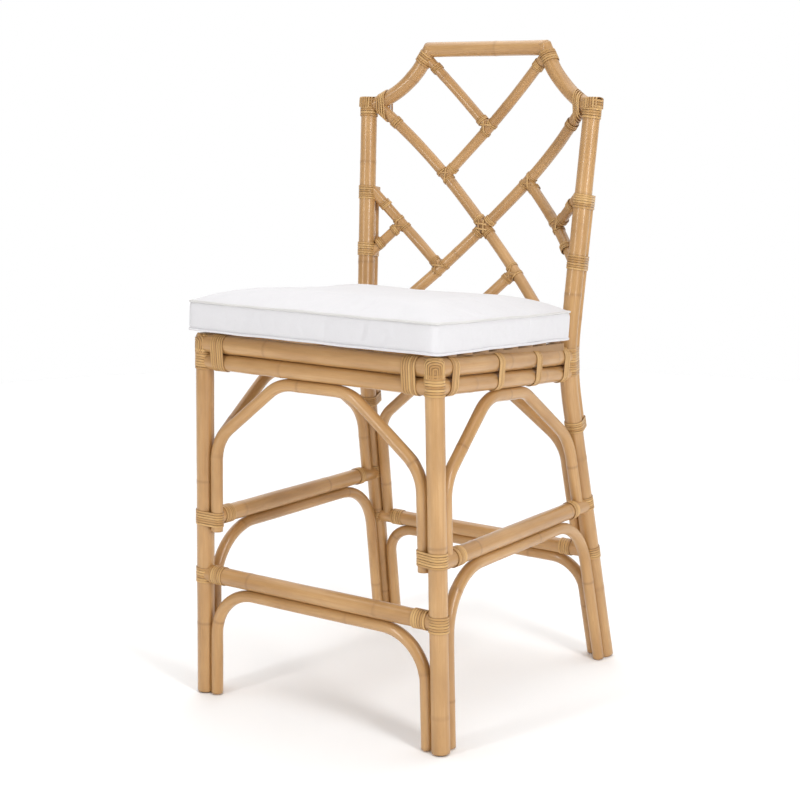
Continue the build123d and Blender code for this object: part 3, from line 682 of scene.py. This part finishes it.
def post_member(side):
    return mirrored(BACK_TOP, side), mirrored(POST_DIR, side), LEG_R


def rail_members(where, side=1):
    if where == "side":
        return [(side_rail_at(0, lift, side), mirrored(SIDE_DIR, side), radius)
                for _, lift, radius in RAIL_LEVELS]
    corner = RAIL_FRONT if where == "front" else RAIL_BACK
    return [(corner + Vector((0, 0, lift)), ACROSS, radius) for _, lift, radius in RAIL_LEVELS]


# Caps of the front legs: turns, nested loops over them, and straps across the end
CAP_TURNS_Z = 607
CAP_BASE_Z = 625
CAP_TURNS = (36, 8)         # every binding has a width and a number of turns
LOOPS = 5
LOOP_PITCH = 3.9
LOOP_HALF_WIDTH = 19.0
LOOP_HEIGHT = 26.0
LOOP_FOOT = -6.0
LOOP_LIMIT = 26.5
LOOP_STRIP = 3.7
LOOP_SHAFT = 0.3            # the share of a loop's length in each of its straight sides
ROUND_FROM = 18.0           # the height over the base where the leg's end begins to round
STRAP_REACH = 3             # straps on each side of the middle one
CORNER_STRAP_PITCH = 4.0
CORNER_STRAP = 3.9
POST_STRAP_PITCH = 4.3
POST_STRAP = 4.2
POST_STRAP_FOOT = 16        # how far below the end of a post its straps begin
STRAP_OVER_TURNS = 2.4
# A post's strap from front to back: the share of its reach outward, and the climb from its foot
POST_STRAP_LINE = ((-1, 0), (-1, 15), (-0.97, 17.4), (-0.82, 18.8), (-0.4, 19.4), (0, 19.6),
                   (0.4, 19.4), (0.82, 18.8), (0.97, 17.4), (1, 15), (1, 0))
Z_AXIS = Vector((0, 0, 1))


def cap_loop(weave, side, half_width, height, facing, lateral, reach):
    """One loop that climbs the side of a leg, crosses its rounded end and comes down again."""
    bow = height - half_width / 2
    spots, outs = [], []
    for i in range(25):
        t = i / 24
        if t < LOOP_SHAFT:
            s, z = -half_width, LOOP_FOOT + t / LOOP_SHAFT * (bow - LOOP_FOOT)
        elif t > 1 - LOOP_SHAFT:
            s, z = half_width, LOOP_FOOT + (1 - t) / LOOP_SHAFT * (bow - LOOP_FOOT)
        else:
            angle = math.pi * (t - LOOP_SHAFT) / (1 - 2 * LOOP_SHAFT)
            s = -half_width * math.cos(angle)
            z = bow + half_width / 2 * math.sin(angle)
        over = max(0.0, z - ROUND_FROM)
        out = facing * math.cos(s / reach) + lateral * math.sin(s / reach)
        spots.append(front_leg(side, CAP_BASE_Z + min(z, LOOP_LIMIT)) + out * (reach - over * 0.55))
        outs.append((out + Z_AXIS * over * 0.25).normalized())
    weave.ribbon(spots, outs, LOOP_STRIP)


def corner_strap(weave, side, offset, facing, lateral, reach):
    """One strap across the rounded end of a front leg, inside its loops."""
    middle = front_leg(side, LEG_TOP + 0.4) - facing * offset
    wide = math.sqrt(max((reach - 1.5) ** 2 - offset**2, 4.0))
    spots, outs = [], []
    for i in range(13):
        a = (i / 12 * 2 - 1) * wide
        away = math.hypot(a, offset)
        sag = max(0.0, away - (LEG_R - LEG_CROWN)) ** 2 / 12
        spots.append(middle + lateral * a - Z_AXIS * sag)
        outs.append((Z_AXIS + (lateral * a - facing * offset) * (away / 260)).normalized())
    weave.ribbon(spots, outs, CORNER_STRAP)


def capped_corner(weave, side):
    """Turns round the top of a front leg, then nested loops and straps over its rounded end."""
    weave.lash(front_leg(side, CAP_TURNS_Z), mirrored(FRONT_DIR, side), [leg_member(side)], *CAP_TURNS)
    facing = Vector((side * 0.62, -0.78, 0)).normalized()
    lateral = Z_AXIS.cross(facing)
    reach = LEG_R + CANE * 0.6
    for k in range(LOOPS):
        inset = LOOP_PITCH * k
        cap_loop(weave, side, LOOP_HALF_WIDTH - inset, LOOP_HEIGHT - inset, facing, lateral, reach)
    for k in range(-STRAP_REACH, STRAP_REACH + 1):
        corner_strap(weave, side, k * CORNER_STRAP_PITCH, facing, lateral, reach)


def post_strap(weave, side, offset):
    """One strap over the flat end of a post, from front to back."""
    foot = mirrored(BACK_TOP - POST_DIR * POST_STRAP_FOOT, side) + ACROSS * offset
    reach = math.sqrt((LEG_R + STRAP_OVER_TURNS) ** 2 - offset**2)
    row, facing = [], []
    for outward, climb in POST_STRAP_LINE:
        row.append(foot + OUT * (reach * outward) + UP * climb)
        tip = max(0.0, min(1.0, (climb - 14) / 4.5))
        facing.append((OUT * outward * (1.2 - tip) + UP * tip).normalized())
    weave.ribbon(row, facing, POST_STRAP, step=1.5)


# Where the bindings are, and their widths and turns
FRONT_RAIL_WRAP_X = 196
BACK_RAIL_WRAP_X = 183
RAIL_WRAP = (28, 6)
SIDE_END_WRAPS = ((38, 22, 5), (426, 20, 5))
SIDE_LOOPS_Y = (189, 321)
SIDE_LOOP = (20, 5)
BEND_SAG = 5.2              # how far the bend of a post runs inside the corner of its two lines
BEND_WRAP = (52, 12)
BEND_WRAP_LIFT = 6
ARCH_LASHING_Z = 325
ARCH_LASHING = (26, 6)
FOOTREST_LASHING = (28, 6)
BACK_LASHINGS = ((312, 25, 6), (214, 22, 5))
FOOTREST_RING_X = 213
FOOTREST_RING = (28, 6)
BACK_RING_IN = 51
BACK_RING = (24, 5)
SIDE_RINGS = ((53, 26, 6), (452, 18, 4))
BACKING_FOOT_DOWN = 118
BACKING_FOOT_WRAP = (20, 5)
POST_BANDS = (293, 184)
POST_BAND = (26, 6)
POST_TOP_DOWN = 16.5
POST_TOP_WRAP = (34, 7)

(corners, cross_rails, rail_ends, rail_loops, back_corners, front_lashings, back_lashings,
 stretcher_rings, backing_feet, post_bands, post_tops, crown_bands) = map(Weave, range(201, 213))


def bind_seat_rails(side):
    spot = Vector((side * FRONT_RAIL_WRAP_X, FRONT_Y, SEAM_FRONT))
    cross_rails.lash(spot, ACROSS, rail_members("front"), *RAIL_WRAP, tilt=0.03)
    spot = Vector((side * BACK_RAIL_WRAP_X, RAIL_BACK_Y, RAIL_BACK.z))
    cross_rails.lash(spot, ACROSS, rail_members("back"), *RAIL_WRAP, tilt=0.03)
    along = mirrored(SIDE_DIR, side)
    members = rail_members("side", side)
    for y, width, turns in SIDE_END_WRAPS:
        rail_ends.lash(side_rail_at(y, 0, side), along, members, width, turns, tilt=0.03)
    for y in SIDE_LOOPS_Y:
        rail_loops.lash(side_rail_at(y, 0, side), along, members, *SIDE_LOOP, tilt=0.06)


def bind_legs(side):
    down_front, down_back = mirrored(FRONT_DIR, side), mirrored(BACK_DIR, side)
    foot = (front_leg(side, FRONT_ARCH[0]) + mirrored(INSIDE, side), down_front, ARCH_R)
    front_lashings.lash(front_leg(side, ARCH_LASHING_Z), down_front, [leg_member(side), foot],
                        *ARCH_LASHING)
    front_lashings.lash(front_leg(side, FOOTREST_Z - 2), down_front, [leg_member(side)],
                        *FOOTREST_LASHING)
    for z, width, turns in BACK_LASHINGS:
        back_lashings.lash(back_leg(side, z), down_back, [splay_member(side)], width, turns)


def bind_stretchers(side):
    rung = (Vector((0, FRONT_Y, FOOTREST_Z)), ACROSS, STRETCHER_R)
    spot = Vector((side * FOOTREST_RING_X, FRONT_Y, FOOTREST_Z))
    stretcher_rings.lash(spot, ACROSS, [rung], *FOOTREST_RING)
    rung = (back_leg(side, BACK_STRETCHER_Z), ACROSS, BACK_STRETCHER_R)
    spot = back_leg(side, BACK_STRETCHER_Z) - ACROSS * (BACK_RING_IN * side)
    stretcher_rings.lash(spot, ACROSS, [rung], *BACK_RING)
    start = front_leg(side, SIDE_STRETCHER_Z[0])
    run = (back_leg(side, SIDE_STRETCHER_Z[1]) - start).normalized()
    for far, width, turns in SIDE_RINGS:
        stretcher_rings.lash(start + run * far, run, [(start, run, STRETCHER_R)], width, turns)


def bind_post(side):
    up_post, up_bend = mirrored(POST_DIR, side), mirrored((POST_DIR + BACK_DIR).normalized(), side)
    bend_mid = BACK_BEND + BISECTOR * BEND_SAG
    bend_backing = BACK_BEND + BISECTOR * (BESIDE + BEND_SAG)
    members = [(mirrored(bend_mid, side), up_bend, LEG_R + 0.6),
               (mirrored(bend_backing, side), up_bend, BACKING_R)]
    back_corners.lash(mirrored(bend_mid, side) + up_bend * BEND_WRAP_LIFT, up_bend, members, *BEND_WRAP,
                      tilt=0.10)
    toe = (mirrored(BACK_BEND + REAR * BESIDE, side), mirrored(BACK_DIR, side), BACKING_R)
    spot = mirrored(BACK_BEND - BACK_DIR * BACKING_FOOT_DOWN, side)
    backing_feet.lash(spot, mirrored(BACK_DIR, side), [splay_member(side), toe], *BACKING_FOOT_WRAP)
    second = (mirrored(BACK_BEND + OUT * BESIDE, side), up_post, BACKING_R)
    for h in POST_BANDS:
        spot = mirrored(BACK_BEND + POST_DIR * h, side)
        post_bands.lash(spot, up_post, [post_member(side), second], *POST_BAND)
    spot = mirrored(BACK_TOP - POST_DIR * POST_TOP_DOWN, side)
    post_tops.lash(spot, up_post, [post_member(side)], *POST_TOP_WRAP, tilt=0.02)
    for k in range(-STRAP_REACH, STRAP_REACH + 1):
        post_strap(post_tops, side, k * POST_STRAP_PITCH)


for side in SIDES:
    capped_corner(corners, side)
    bind_seat_rails(side)
    bind_legs(side)
    bind_stretchers(side)
    bind_post(side)

for weave, node in ((corners, "front_corner"), (cross_rails, "cross_rails"),
                    (rail_ends, "side_rail_ends"), (rail_loops, "side_rail_loops"),
                    (back_corners, "back_corner"), (front_lashings, "front_legs"),
                    (back_lashings, "back_legs"), (stretcher_rings, "stretchers"),
                    (backing_feet, "backing_foot"), (post_bands, "posts"), (post_tops, "post_tops")):
    weave.finish(f"cane_{node}")


# ---------------------------------------------------------------- bindings of the back
def back_member(x, h, dx, dh, radius):
    """A pole of the back near a point, from its course there: a point, a direction and a radius."""
    start, end = (on_back(x + k * dx, h + k * dh) for k in (-8, 8))
    return on_back(x, h), (end - start).normalized(), radius


LONG_UNDER_SHOULDER = (206, 445)
SHOULDER_HULL_AT = (211, 460, 6)
LONG_RING_AT = (190, 429)
SHOULDER_LAND = (236, 457, 0)
SHOULDER_WRAP = (22, 5)
SHOULDER_HULL_WRAP = (16, 4)
LONG_RING = (13, 3)
shoulder_top = on_back(*SHOULDER[1])
shoulder_run = (on_back(*SHOULDER[2]) - shoulder_top).normalized()
shoulder_end = on_back(*SHOULDER[4])
end_run = (on_back(*SHOULDER_LAND) - on_back(*SHOULDER[3])).normalized()
for side in SIDES:
    along = mirrored(shoulder_run, side)
    member = (mirrored(shoulder_top, side), along, CROWN_R + 0.3)
    spot = mirrored(shoulder_top + shoulder_run * 3, side)
    crown_bands.lash(spot, along, [member], *SHOULDER_WRAP, tilt=0.09)
    members = [(mirrored(shoulder_end, side), mirrored(end_run, side), CROWN_R + 1.5)]
    point, way, radius = back_member(*LONG_UNDER_SHOULDER, 1, 1, LONG_R + 3)
    members.append((mirrored(point, side), mirrored(way, side), radius))
    spot = mirrored(on_back(*SHOULDER_HULL_AT), side)
    crown_bands.lash(spot, ACROSS, members, *SHOULDER_HULL_WRAP, tilt=0.05)
    point, way, radius = back_member(*LONG_RING_AT, 1, 1, LONG_R)
    member = (mirrored(point, side), mirrored(way, side), radius)
    crown_bands.lash(member[0], member[1], [member], *LONG_RING)
crown_bands.finish("cane_crown")


CROSSING_STRIP = 3.6


def crossing_strips(weave, joint, through, branch, radius, both=False):
    """Strips that cross over the front and the rear of a joint, from one pole to the other."""
    for face in (-1, 1):
        skin = OUT * face
        for way in (-1, 1):
            run = [joint + through * (11 * way) - branch * 6 + skin * (radius + 0.6),
                   joint + through * (4 * way) + branch * 3 + skin * (radius + 2.0),
                   joint - through * (5 * way) + branch * 13 + skin * (radius + 0.2)]
            weave.ribbon(run, [skin] * 3, CROSSING_STRIP)
            if both:
                run = [spot - (spot - joint) * 2 + skin * 2 * (spot - joint).dot(skin) for spot in run]
                weave.ribbon(run, [skin] * 3, CROSSING_STRIP)


# T joints: the place, the course of the pole that runs through and its radius, the way the other leaves
TEES = (
    ((-2, 423), (1, 1), LATTICE_R, (-1, 1)),
    ((-93, 332), (1, -1), LONG_R, (1, 1)),
    ((88, 327), (1, 1), LONG_R, (1, -1.04)),
    ((166, 246), (0.93, -1), LATTICE_R, (1, 0.97)),
    ((-172, 237), (1, -1.05), LATTICE_R, (-0.84, -1)),
    ((-84, 156), (1, 1), LONG_R, (-1, 0.88)),
    ((79, 159), (1, -1), LONG_R, (-1, -1)),
)
TEE_RINGS = (-10.2, 10.2)
TEE_RING = (6.6, 2)
TEE_COLLAR_OUT = 14
TEE_COLLAR = (9.6, 3)
CROSSING_AT = (0, 239)
CROSSING_RINGS = (-16.5, 16.5)
CROSSING_RING = (10, 3)
END_RING = (13, 4)
# Ends of the lattice poles: the place, the slope of the pole there and its radius
ENDS = (((-202, 272), -1.16, LATTICE_R), ((206, 285), 0.97, BUTT_R), ((-206, 196.5), 1.2, BUTT_R),
        ((199, 208), -1.13, LATTICE_R), ((110, 535), 1, LATTICE_R), ((-110, 531), -1, BUTT_R))

tees = Weave(213)
for (x, h), (dx, dh), radius, (bx, bh) in TEES:
    joint, way, _ = back_member(x, h, dx, dh, radius)
    for offset in TEE_RINGS:
        tees.lash(joint + way * offset, way, [(joint, way, radius)], *TEE_RING, tilt=0.08)
    spot, leave, _ = back_member(x + TEE_COLLAR_OUT * bx, h + TEE_COLLAR_OUT * bh, bx, bh, LATTICE_R)
    tees.lash(spot, leave, [(spot, leave, LATTICE_R)], *TEE_COLLAR, tilt=0.08)
    crossing_strips(tees, joint, way, leave, radius)
tees.finish("cane_tees")

crossing = Weave(214)
joint, rising, _ = back_member(*CROSSING_AT, 1, 1, LONG_R)
_, falling, _ = back_member(*CROSSING_AT, 1, -1, LONG_R)
for way in (rising, falling):
    for offset in CROSSING_RINGS:
        crossing.lash(joint + way * offset, way, [(joint, way, LONG_R)], *CROSSING_RING, tilt=0.08)
crossing_strips(crossing, joint, rising, falling, LONG_R + 1, both=True)
crossing.finish("cane_crossing")

lattice_ends = Weave(215)
for (x, h), slope, radius in ENDS:
    spot, way, _ = back_member(x, h, 1, slope, radius)
    lattice_ends.lash(spot, way, [(spot, way, radius + 0.3)], *END_RING, tilt=0.08)
lattice_ends.finish("cane_lattice_ends")


# ---------------------------------------------------------------- deck, glides and screws
def copied(node, material):
    """The CAD piece as it is, with its own material."""
    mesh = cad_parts[node].data.copy()
    mesh.materials.clear()
    mesh.materials.append(material)
    piece = bpy.data.objects.new(f"{node}_seen", mesh)
    bpy.context.scene.collection.objects.link(piece)
    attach(piece, FRAME_BODY)
    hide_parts(node)


copied("seat_slats", DECK)
copied("seat_bearers", DECK)
copied("glides", GLIDE)
copied("frame_screws", STEEL)

# ---------------------------------------------------------------- cushion
CUSHION_FALL = 0.0708
CUSHION_T = 50.0
PIPING_R = 2.6
PIPING_SEEN_R = 2.2
PIPING_SUNK = 1.0           # how far the cover swells out round its piping
CUSHION_LOW = Vector((0, FRONT_Y, 655.1))
CUSHION_EDGE = ((-256, -27), (256, -27), (243, 436), (-243, 436))
CORNER = 16.0
VOXEL = 5.5
PIN_REACH = 9.0             # the cover is held this near to its seams
FLAT_BASE = 1.5             # and up to this height over its underside
PUFF = 5.0                  # the furthest that a point of the cover may move
PRESSURE = 3.2
SIM_FRAMES = 20
SEAT_UP = Vector((0, CUSHION_FALL, 1)).normalized()
SEAT_BACK = Vector((0, 1, -CUSHION_FALL)).normalized()


def seam(height, inset=0.0):
    """The closed line round the cushion at a height above its underside."""
    corners_2d = [Vector((x - math.copysign(inset, x), y + (inset if y < 0 else -inset), 0))
                  for x, y in CUSHION_EDGE]
    run = []
    for k, corner in enumerate(corners_2d):
        ahead, behind = corners_2d[(k + 1) % 4], corners_2d[k - 1]
        middle = (corner + behind) / 2, (corner + ahead) / 2
        run += bent([middle[0], corner, middle[1]], CORNER)[1:-1]
    spots = [CUSHION_LOW + ACROSS * p.x + SEAT_BACK * p.y + SEAT_UP * height for p in run]
    return resampled(spots, 4.0, closed=True)


def piping(name, node, height, material):
    """A covered cord along a seam, slightly uneven as sewn piping is."""
    chance = random.Random(node)
    spots = seam(height)
    ways = tangents(spots, closed=True)
    waves = [chance.uniform(0, 6.3) for _ in range(3)]
    verts, faces = [], []
    for i, (spot, way) in enumerate(zip(spots, ways)):
        out = way.cross(SEAT_UP).normalized()
        drift = 0.35 * math.sin(i / 9 + waves[0]) + 0.25 * math.sin(i / 4 + waves[1])
        spot = spot + SEAT_UP * drift
        for k in range(12):
            angle = 2 * math.pi * k / 12
            around = out * math.cos(angle) + SEAT_UP * math.sin(angle)
            verts.append(spot - out * PIPING_SUNK + around * PIPING_SEEN_R)
    count = len(spots)
    for i in range(count):
        for k in range(12):
            a, b = i * 12, (i + 1) % count * 12
            n = (k + 1) % 12
            faces.append((a + k, b + k, b + n, a + n))
    new_piece(name, verts, faces, material, CUSHION_BODY, [node])


def remeshed_cushion():
    """The cushion's CAD solid as an evenly meshed copy."""
    pad = bpy.data.objects.new("cushion_pad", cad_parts["cushion"].data.copy())
    bpy.context.scene.collection.objects.link(pad)
    bpy.context.view_layer.objects.active = pad
    pad.select_set(True)
    remesh = pad.modifiers.new("remesh", "REMESH")
    remesh.mode = "VOXEL"
    remesh.voxel_size = VOXEL * MM
    bpy.ops.object.modifier_apply(modifier="remesh")
    return pad


def pin_seams(pad):
    """Holds the cover at its underside, and near its two seams."""
    tree = point_tree([spot * MM for height in (PIPING_R, CUSHION_T) for spot in seam(height)])
    pins = pad.vertex_groups.new(name="seams")
    for v in pad.data.vertices:
        _, _, far = tree.find(v.co)
        near_seam = max(0.0, 1 - far / (PIN_REACH * MM))
        flat = (v.co - CUSHION_LOW * MM).dot(SEAT_UP) < FLAT_BASE * MM
        pins.add([v.index], 1.0 if flat else near_seam, "REPLACE")


def inflate(pad):
    """Swells the cover as cloth under pressure; no point moves further than PUFF."""
    before = [v.co.copy() for v in pad.data.vertices]
    cloth = pad.modifiers.new("cloth", "CLOTH")
    settings = cloth.settings
    settings.quality = 6
    settings.mass = 0.3
    settings.tension_stiffness = 18
    settings.compression_stiffness = 18
    settings.bending_stiffness = 1.2
    settings.use_pressure = True
    settings.uniform_pressure_force = PRESSURE
    settings.effector_weights.gravity = 0.0
    settings.vertex_group_mass = "seams"
    settings.shrink_min = -0.004
    cloth.collision_settings.use_collision = False
    cloth.point_cache.frame_start = 1
    cloth.point_cache.frame_end = SIM_FRAMES
    for number in range(1, SIM_FRAMES + 1):
        bpy.context.scene.frame_set(number)
    shown = pad.evaluated_get(bpy.context.evaluated_depsgraph_get())
    after = [v.co.copy() for v in shown.data.vertices]
    pad.modifiers.remove(cloth)
    bpy.context.scene.frame_set(1)
    for v, start, end in zip(pad.data.vertices, before, after):
        moved = end - start
        if moved.length > PUFF * MM:
            moved = moved.normalized() * PUFF * MM
        v.co = start + moved


def padded_cushion():
    """A stuffed cover held at its two seams, in place of the cushion's CAD solid."""
    pad = remeshed_cushion()
    pin_seams(pad)
    inflate(pad)
    soften = pad.modifiers.new("soften", "SUBSURF")
    soften.levels = 1
    bpy.ops.object.modifier_apply(modifier="soften")
    pad.data.materials.clear()
    pad.data.materials.append(COVER)
    pad.data.shade_smooth()
    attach(pad, CUSHION_BODY)
    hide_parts("cushion")


def point_tree(points):
    tree = KDTree(len(points))
    for i, point in enumerate(points):
        tree.insert(point, i)
    tree.balance()
    return tree


padded_cushion()
piping("piping_top_cord", "piping_top", CUSHION_T, TOP_PIPING)
piping("piping_bottom_cord", "piping_bottom", PIPING_R, LOW_PIPING)

# ---------------------------------------------------------------- floor, light and camera
WALL_SIDE = (-0.56, 0.83, 0.0)
WALL_LIGHT = 1.0
ROOM_LIGHT = 0.36
# Soft lights: name, place, what each is aimed at, its two sides in metres, and its power
SOFTBOXES = (
    ("key_right", (3.0, -1.2, 1.9), (0, 0, 0.6), (0.7, 2.6), 62),
    ("fill_front", (-0.9, -3.6, 1.6), (0, 0, 0.6), (0.45, 2.4), 38),
    ("top", (-1.0, 1.5, 7.0), (-1.0, 1.5, 0), (10, 10), 400),
)
CAMERA_AT = (1.5764, -2.3470, 1.0523)
CAMERA_TILT = 79.229
CAMERA_TURN = 34.229
CAMERA_LENS = 72.23

bpy.ops.mesh.primitive_circle_add(vertices=96, radius=3.4, fill_type="NGON", location=(0, 0, 0))
floor = bpy.context.object
floor.name = "studio_floor"
floor_material, _, floor_shader = principled("floor_white")
floor_shader.inputs["Base Color"].default_value = (0.97, 0.97, 0.97, 1)
floor_shader.inputs["Roughness"].default_value = 0.9
floor.data.materials.append(floor_material)

# A studio with a bright wall behind the stool and dimmer ones beside and before it.
world = bpy.data.worlds.new("studio")
world.use_nodes = True
studio = world.node_tree
facing = studio.nodes.new("ShaderNodeVectorMath")
facing.operation = "DOT_PRODUCT"
facing.inputs[1].default_value = WALL_SIDE
studio.links.new(studio.nodes.new("ShaderNodeTexCoord").outputs["Generated"], facing.inputs[0])
glow = spread(studio, facing.outputs["Value"], 0.1, 0.75, ROOM_LIGHT, WALL_LIGHT)
studio.nodes["Background"].inputs["Color"].default_value = (1.0, 1.0, 1.0, 1)
studio.links.new(glow, studio.nodes["Background"].inputs["Strength"])
bpy.context.scene.world = world


def softbox(name, place, aim, size, power):
    light = bpy.data.lights.new(name, "AREA")
    light.shape = "RECTANGLE"
    light.size, light.size_y = size
    light.energy = power
    lamp = bpy.data.objects.new(name, light)
    lamp.location = place
    lamp.rotation_euler = (Vector(aim) - Vector(place)).to_track_quat("-Z", "Y").to_euler()
    bpy.context.scene.collection.objects.link(lamp)


for softbox_facts in SOFTBOXES:
    softbox(*softbox_facts)

camera = bpy.data.cameras.new("camera")
camera.lens = CAMERA_LENS
camera.sensor_width = 36
view = bpy.data.objects.new("camera", camera)
view.location = CAMERA_AT
view.rotation_euler = (math.radians(CAMERA_TILT), 0, math.radians(CAMERA_TURN))
bpy.context.scene.collection.objects.link(view)
bpy.context.scene.camera = view
bpy.context.scene.view_settings.view_transform = "Standard"
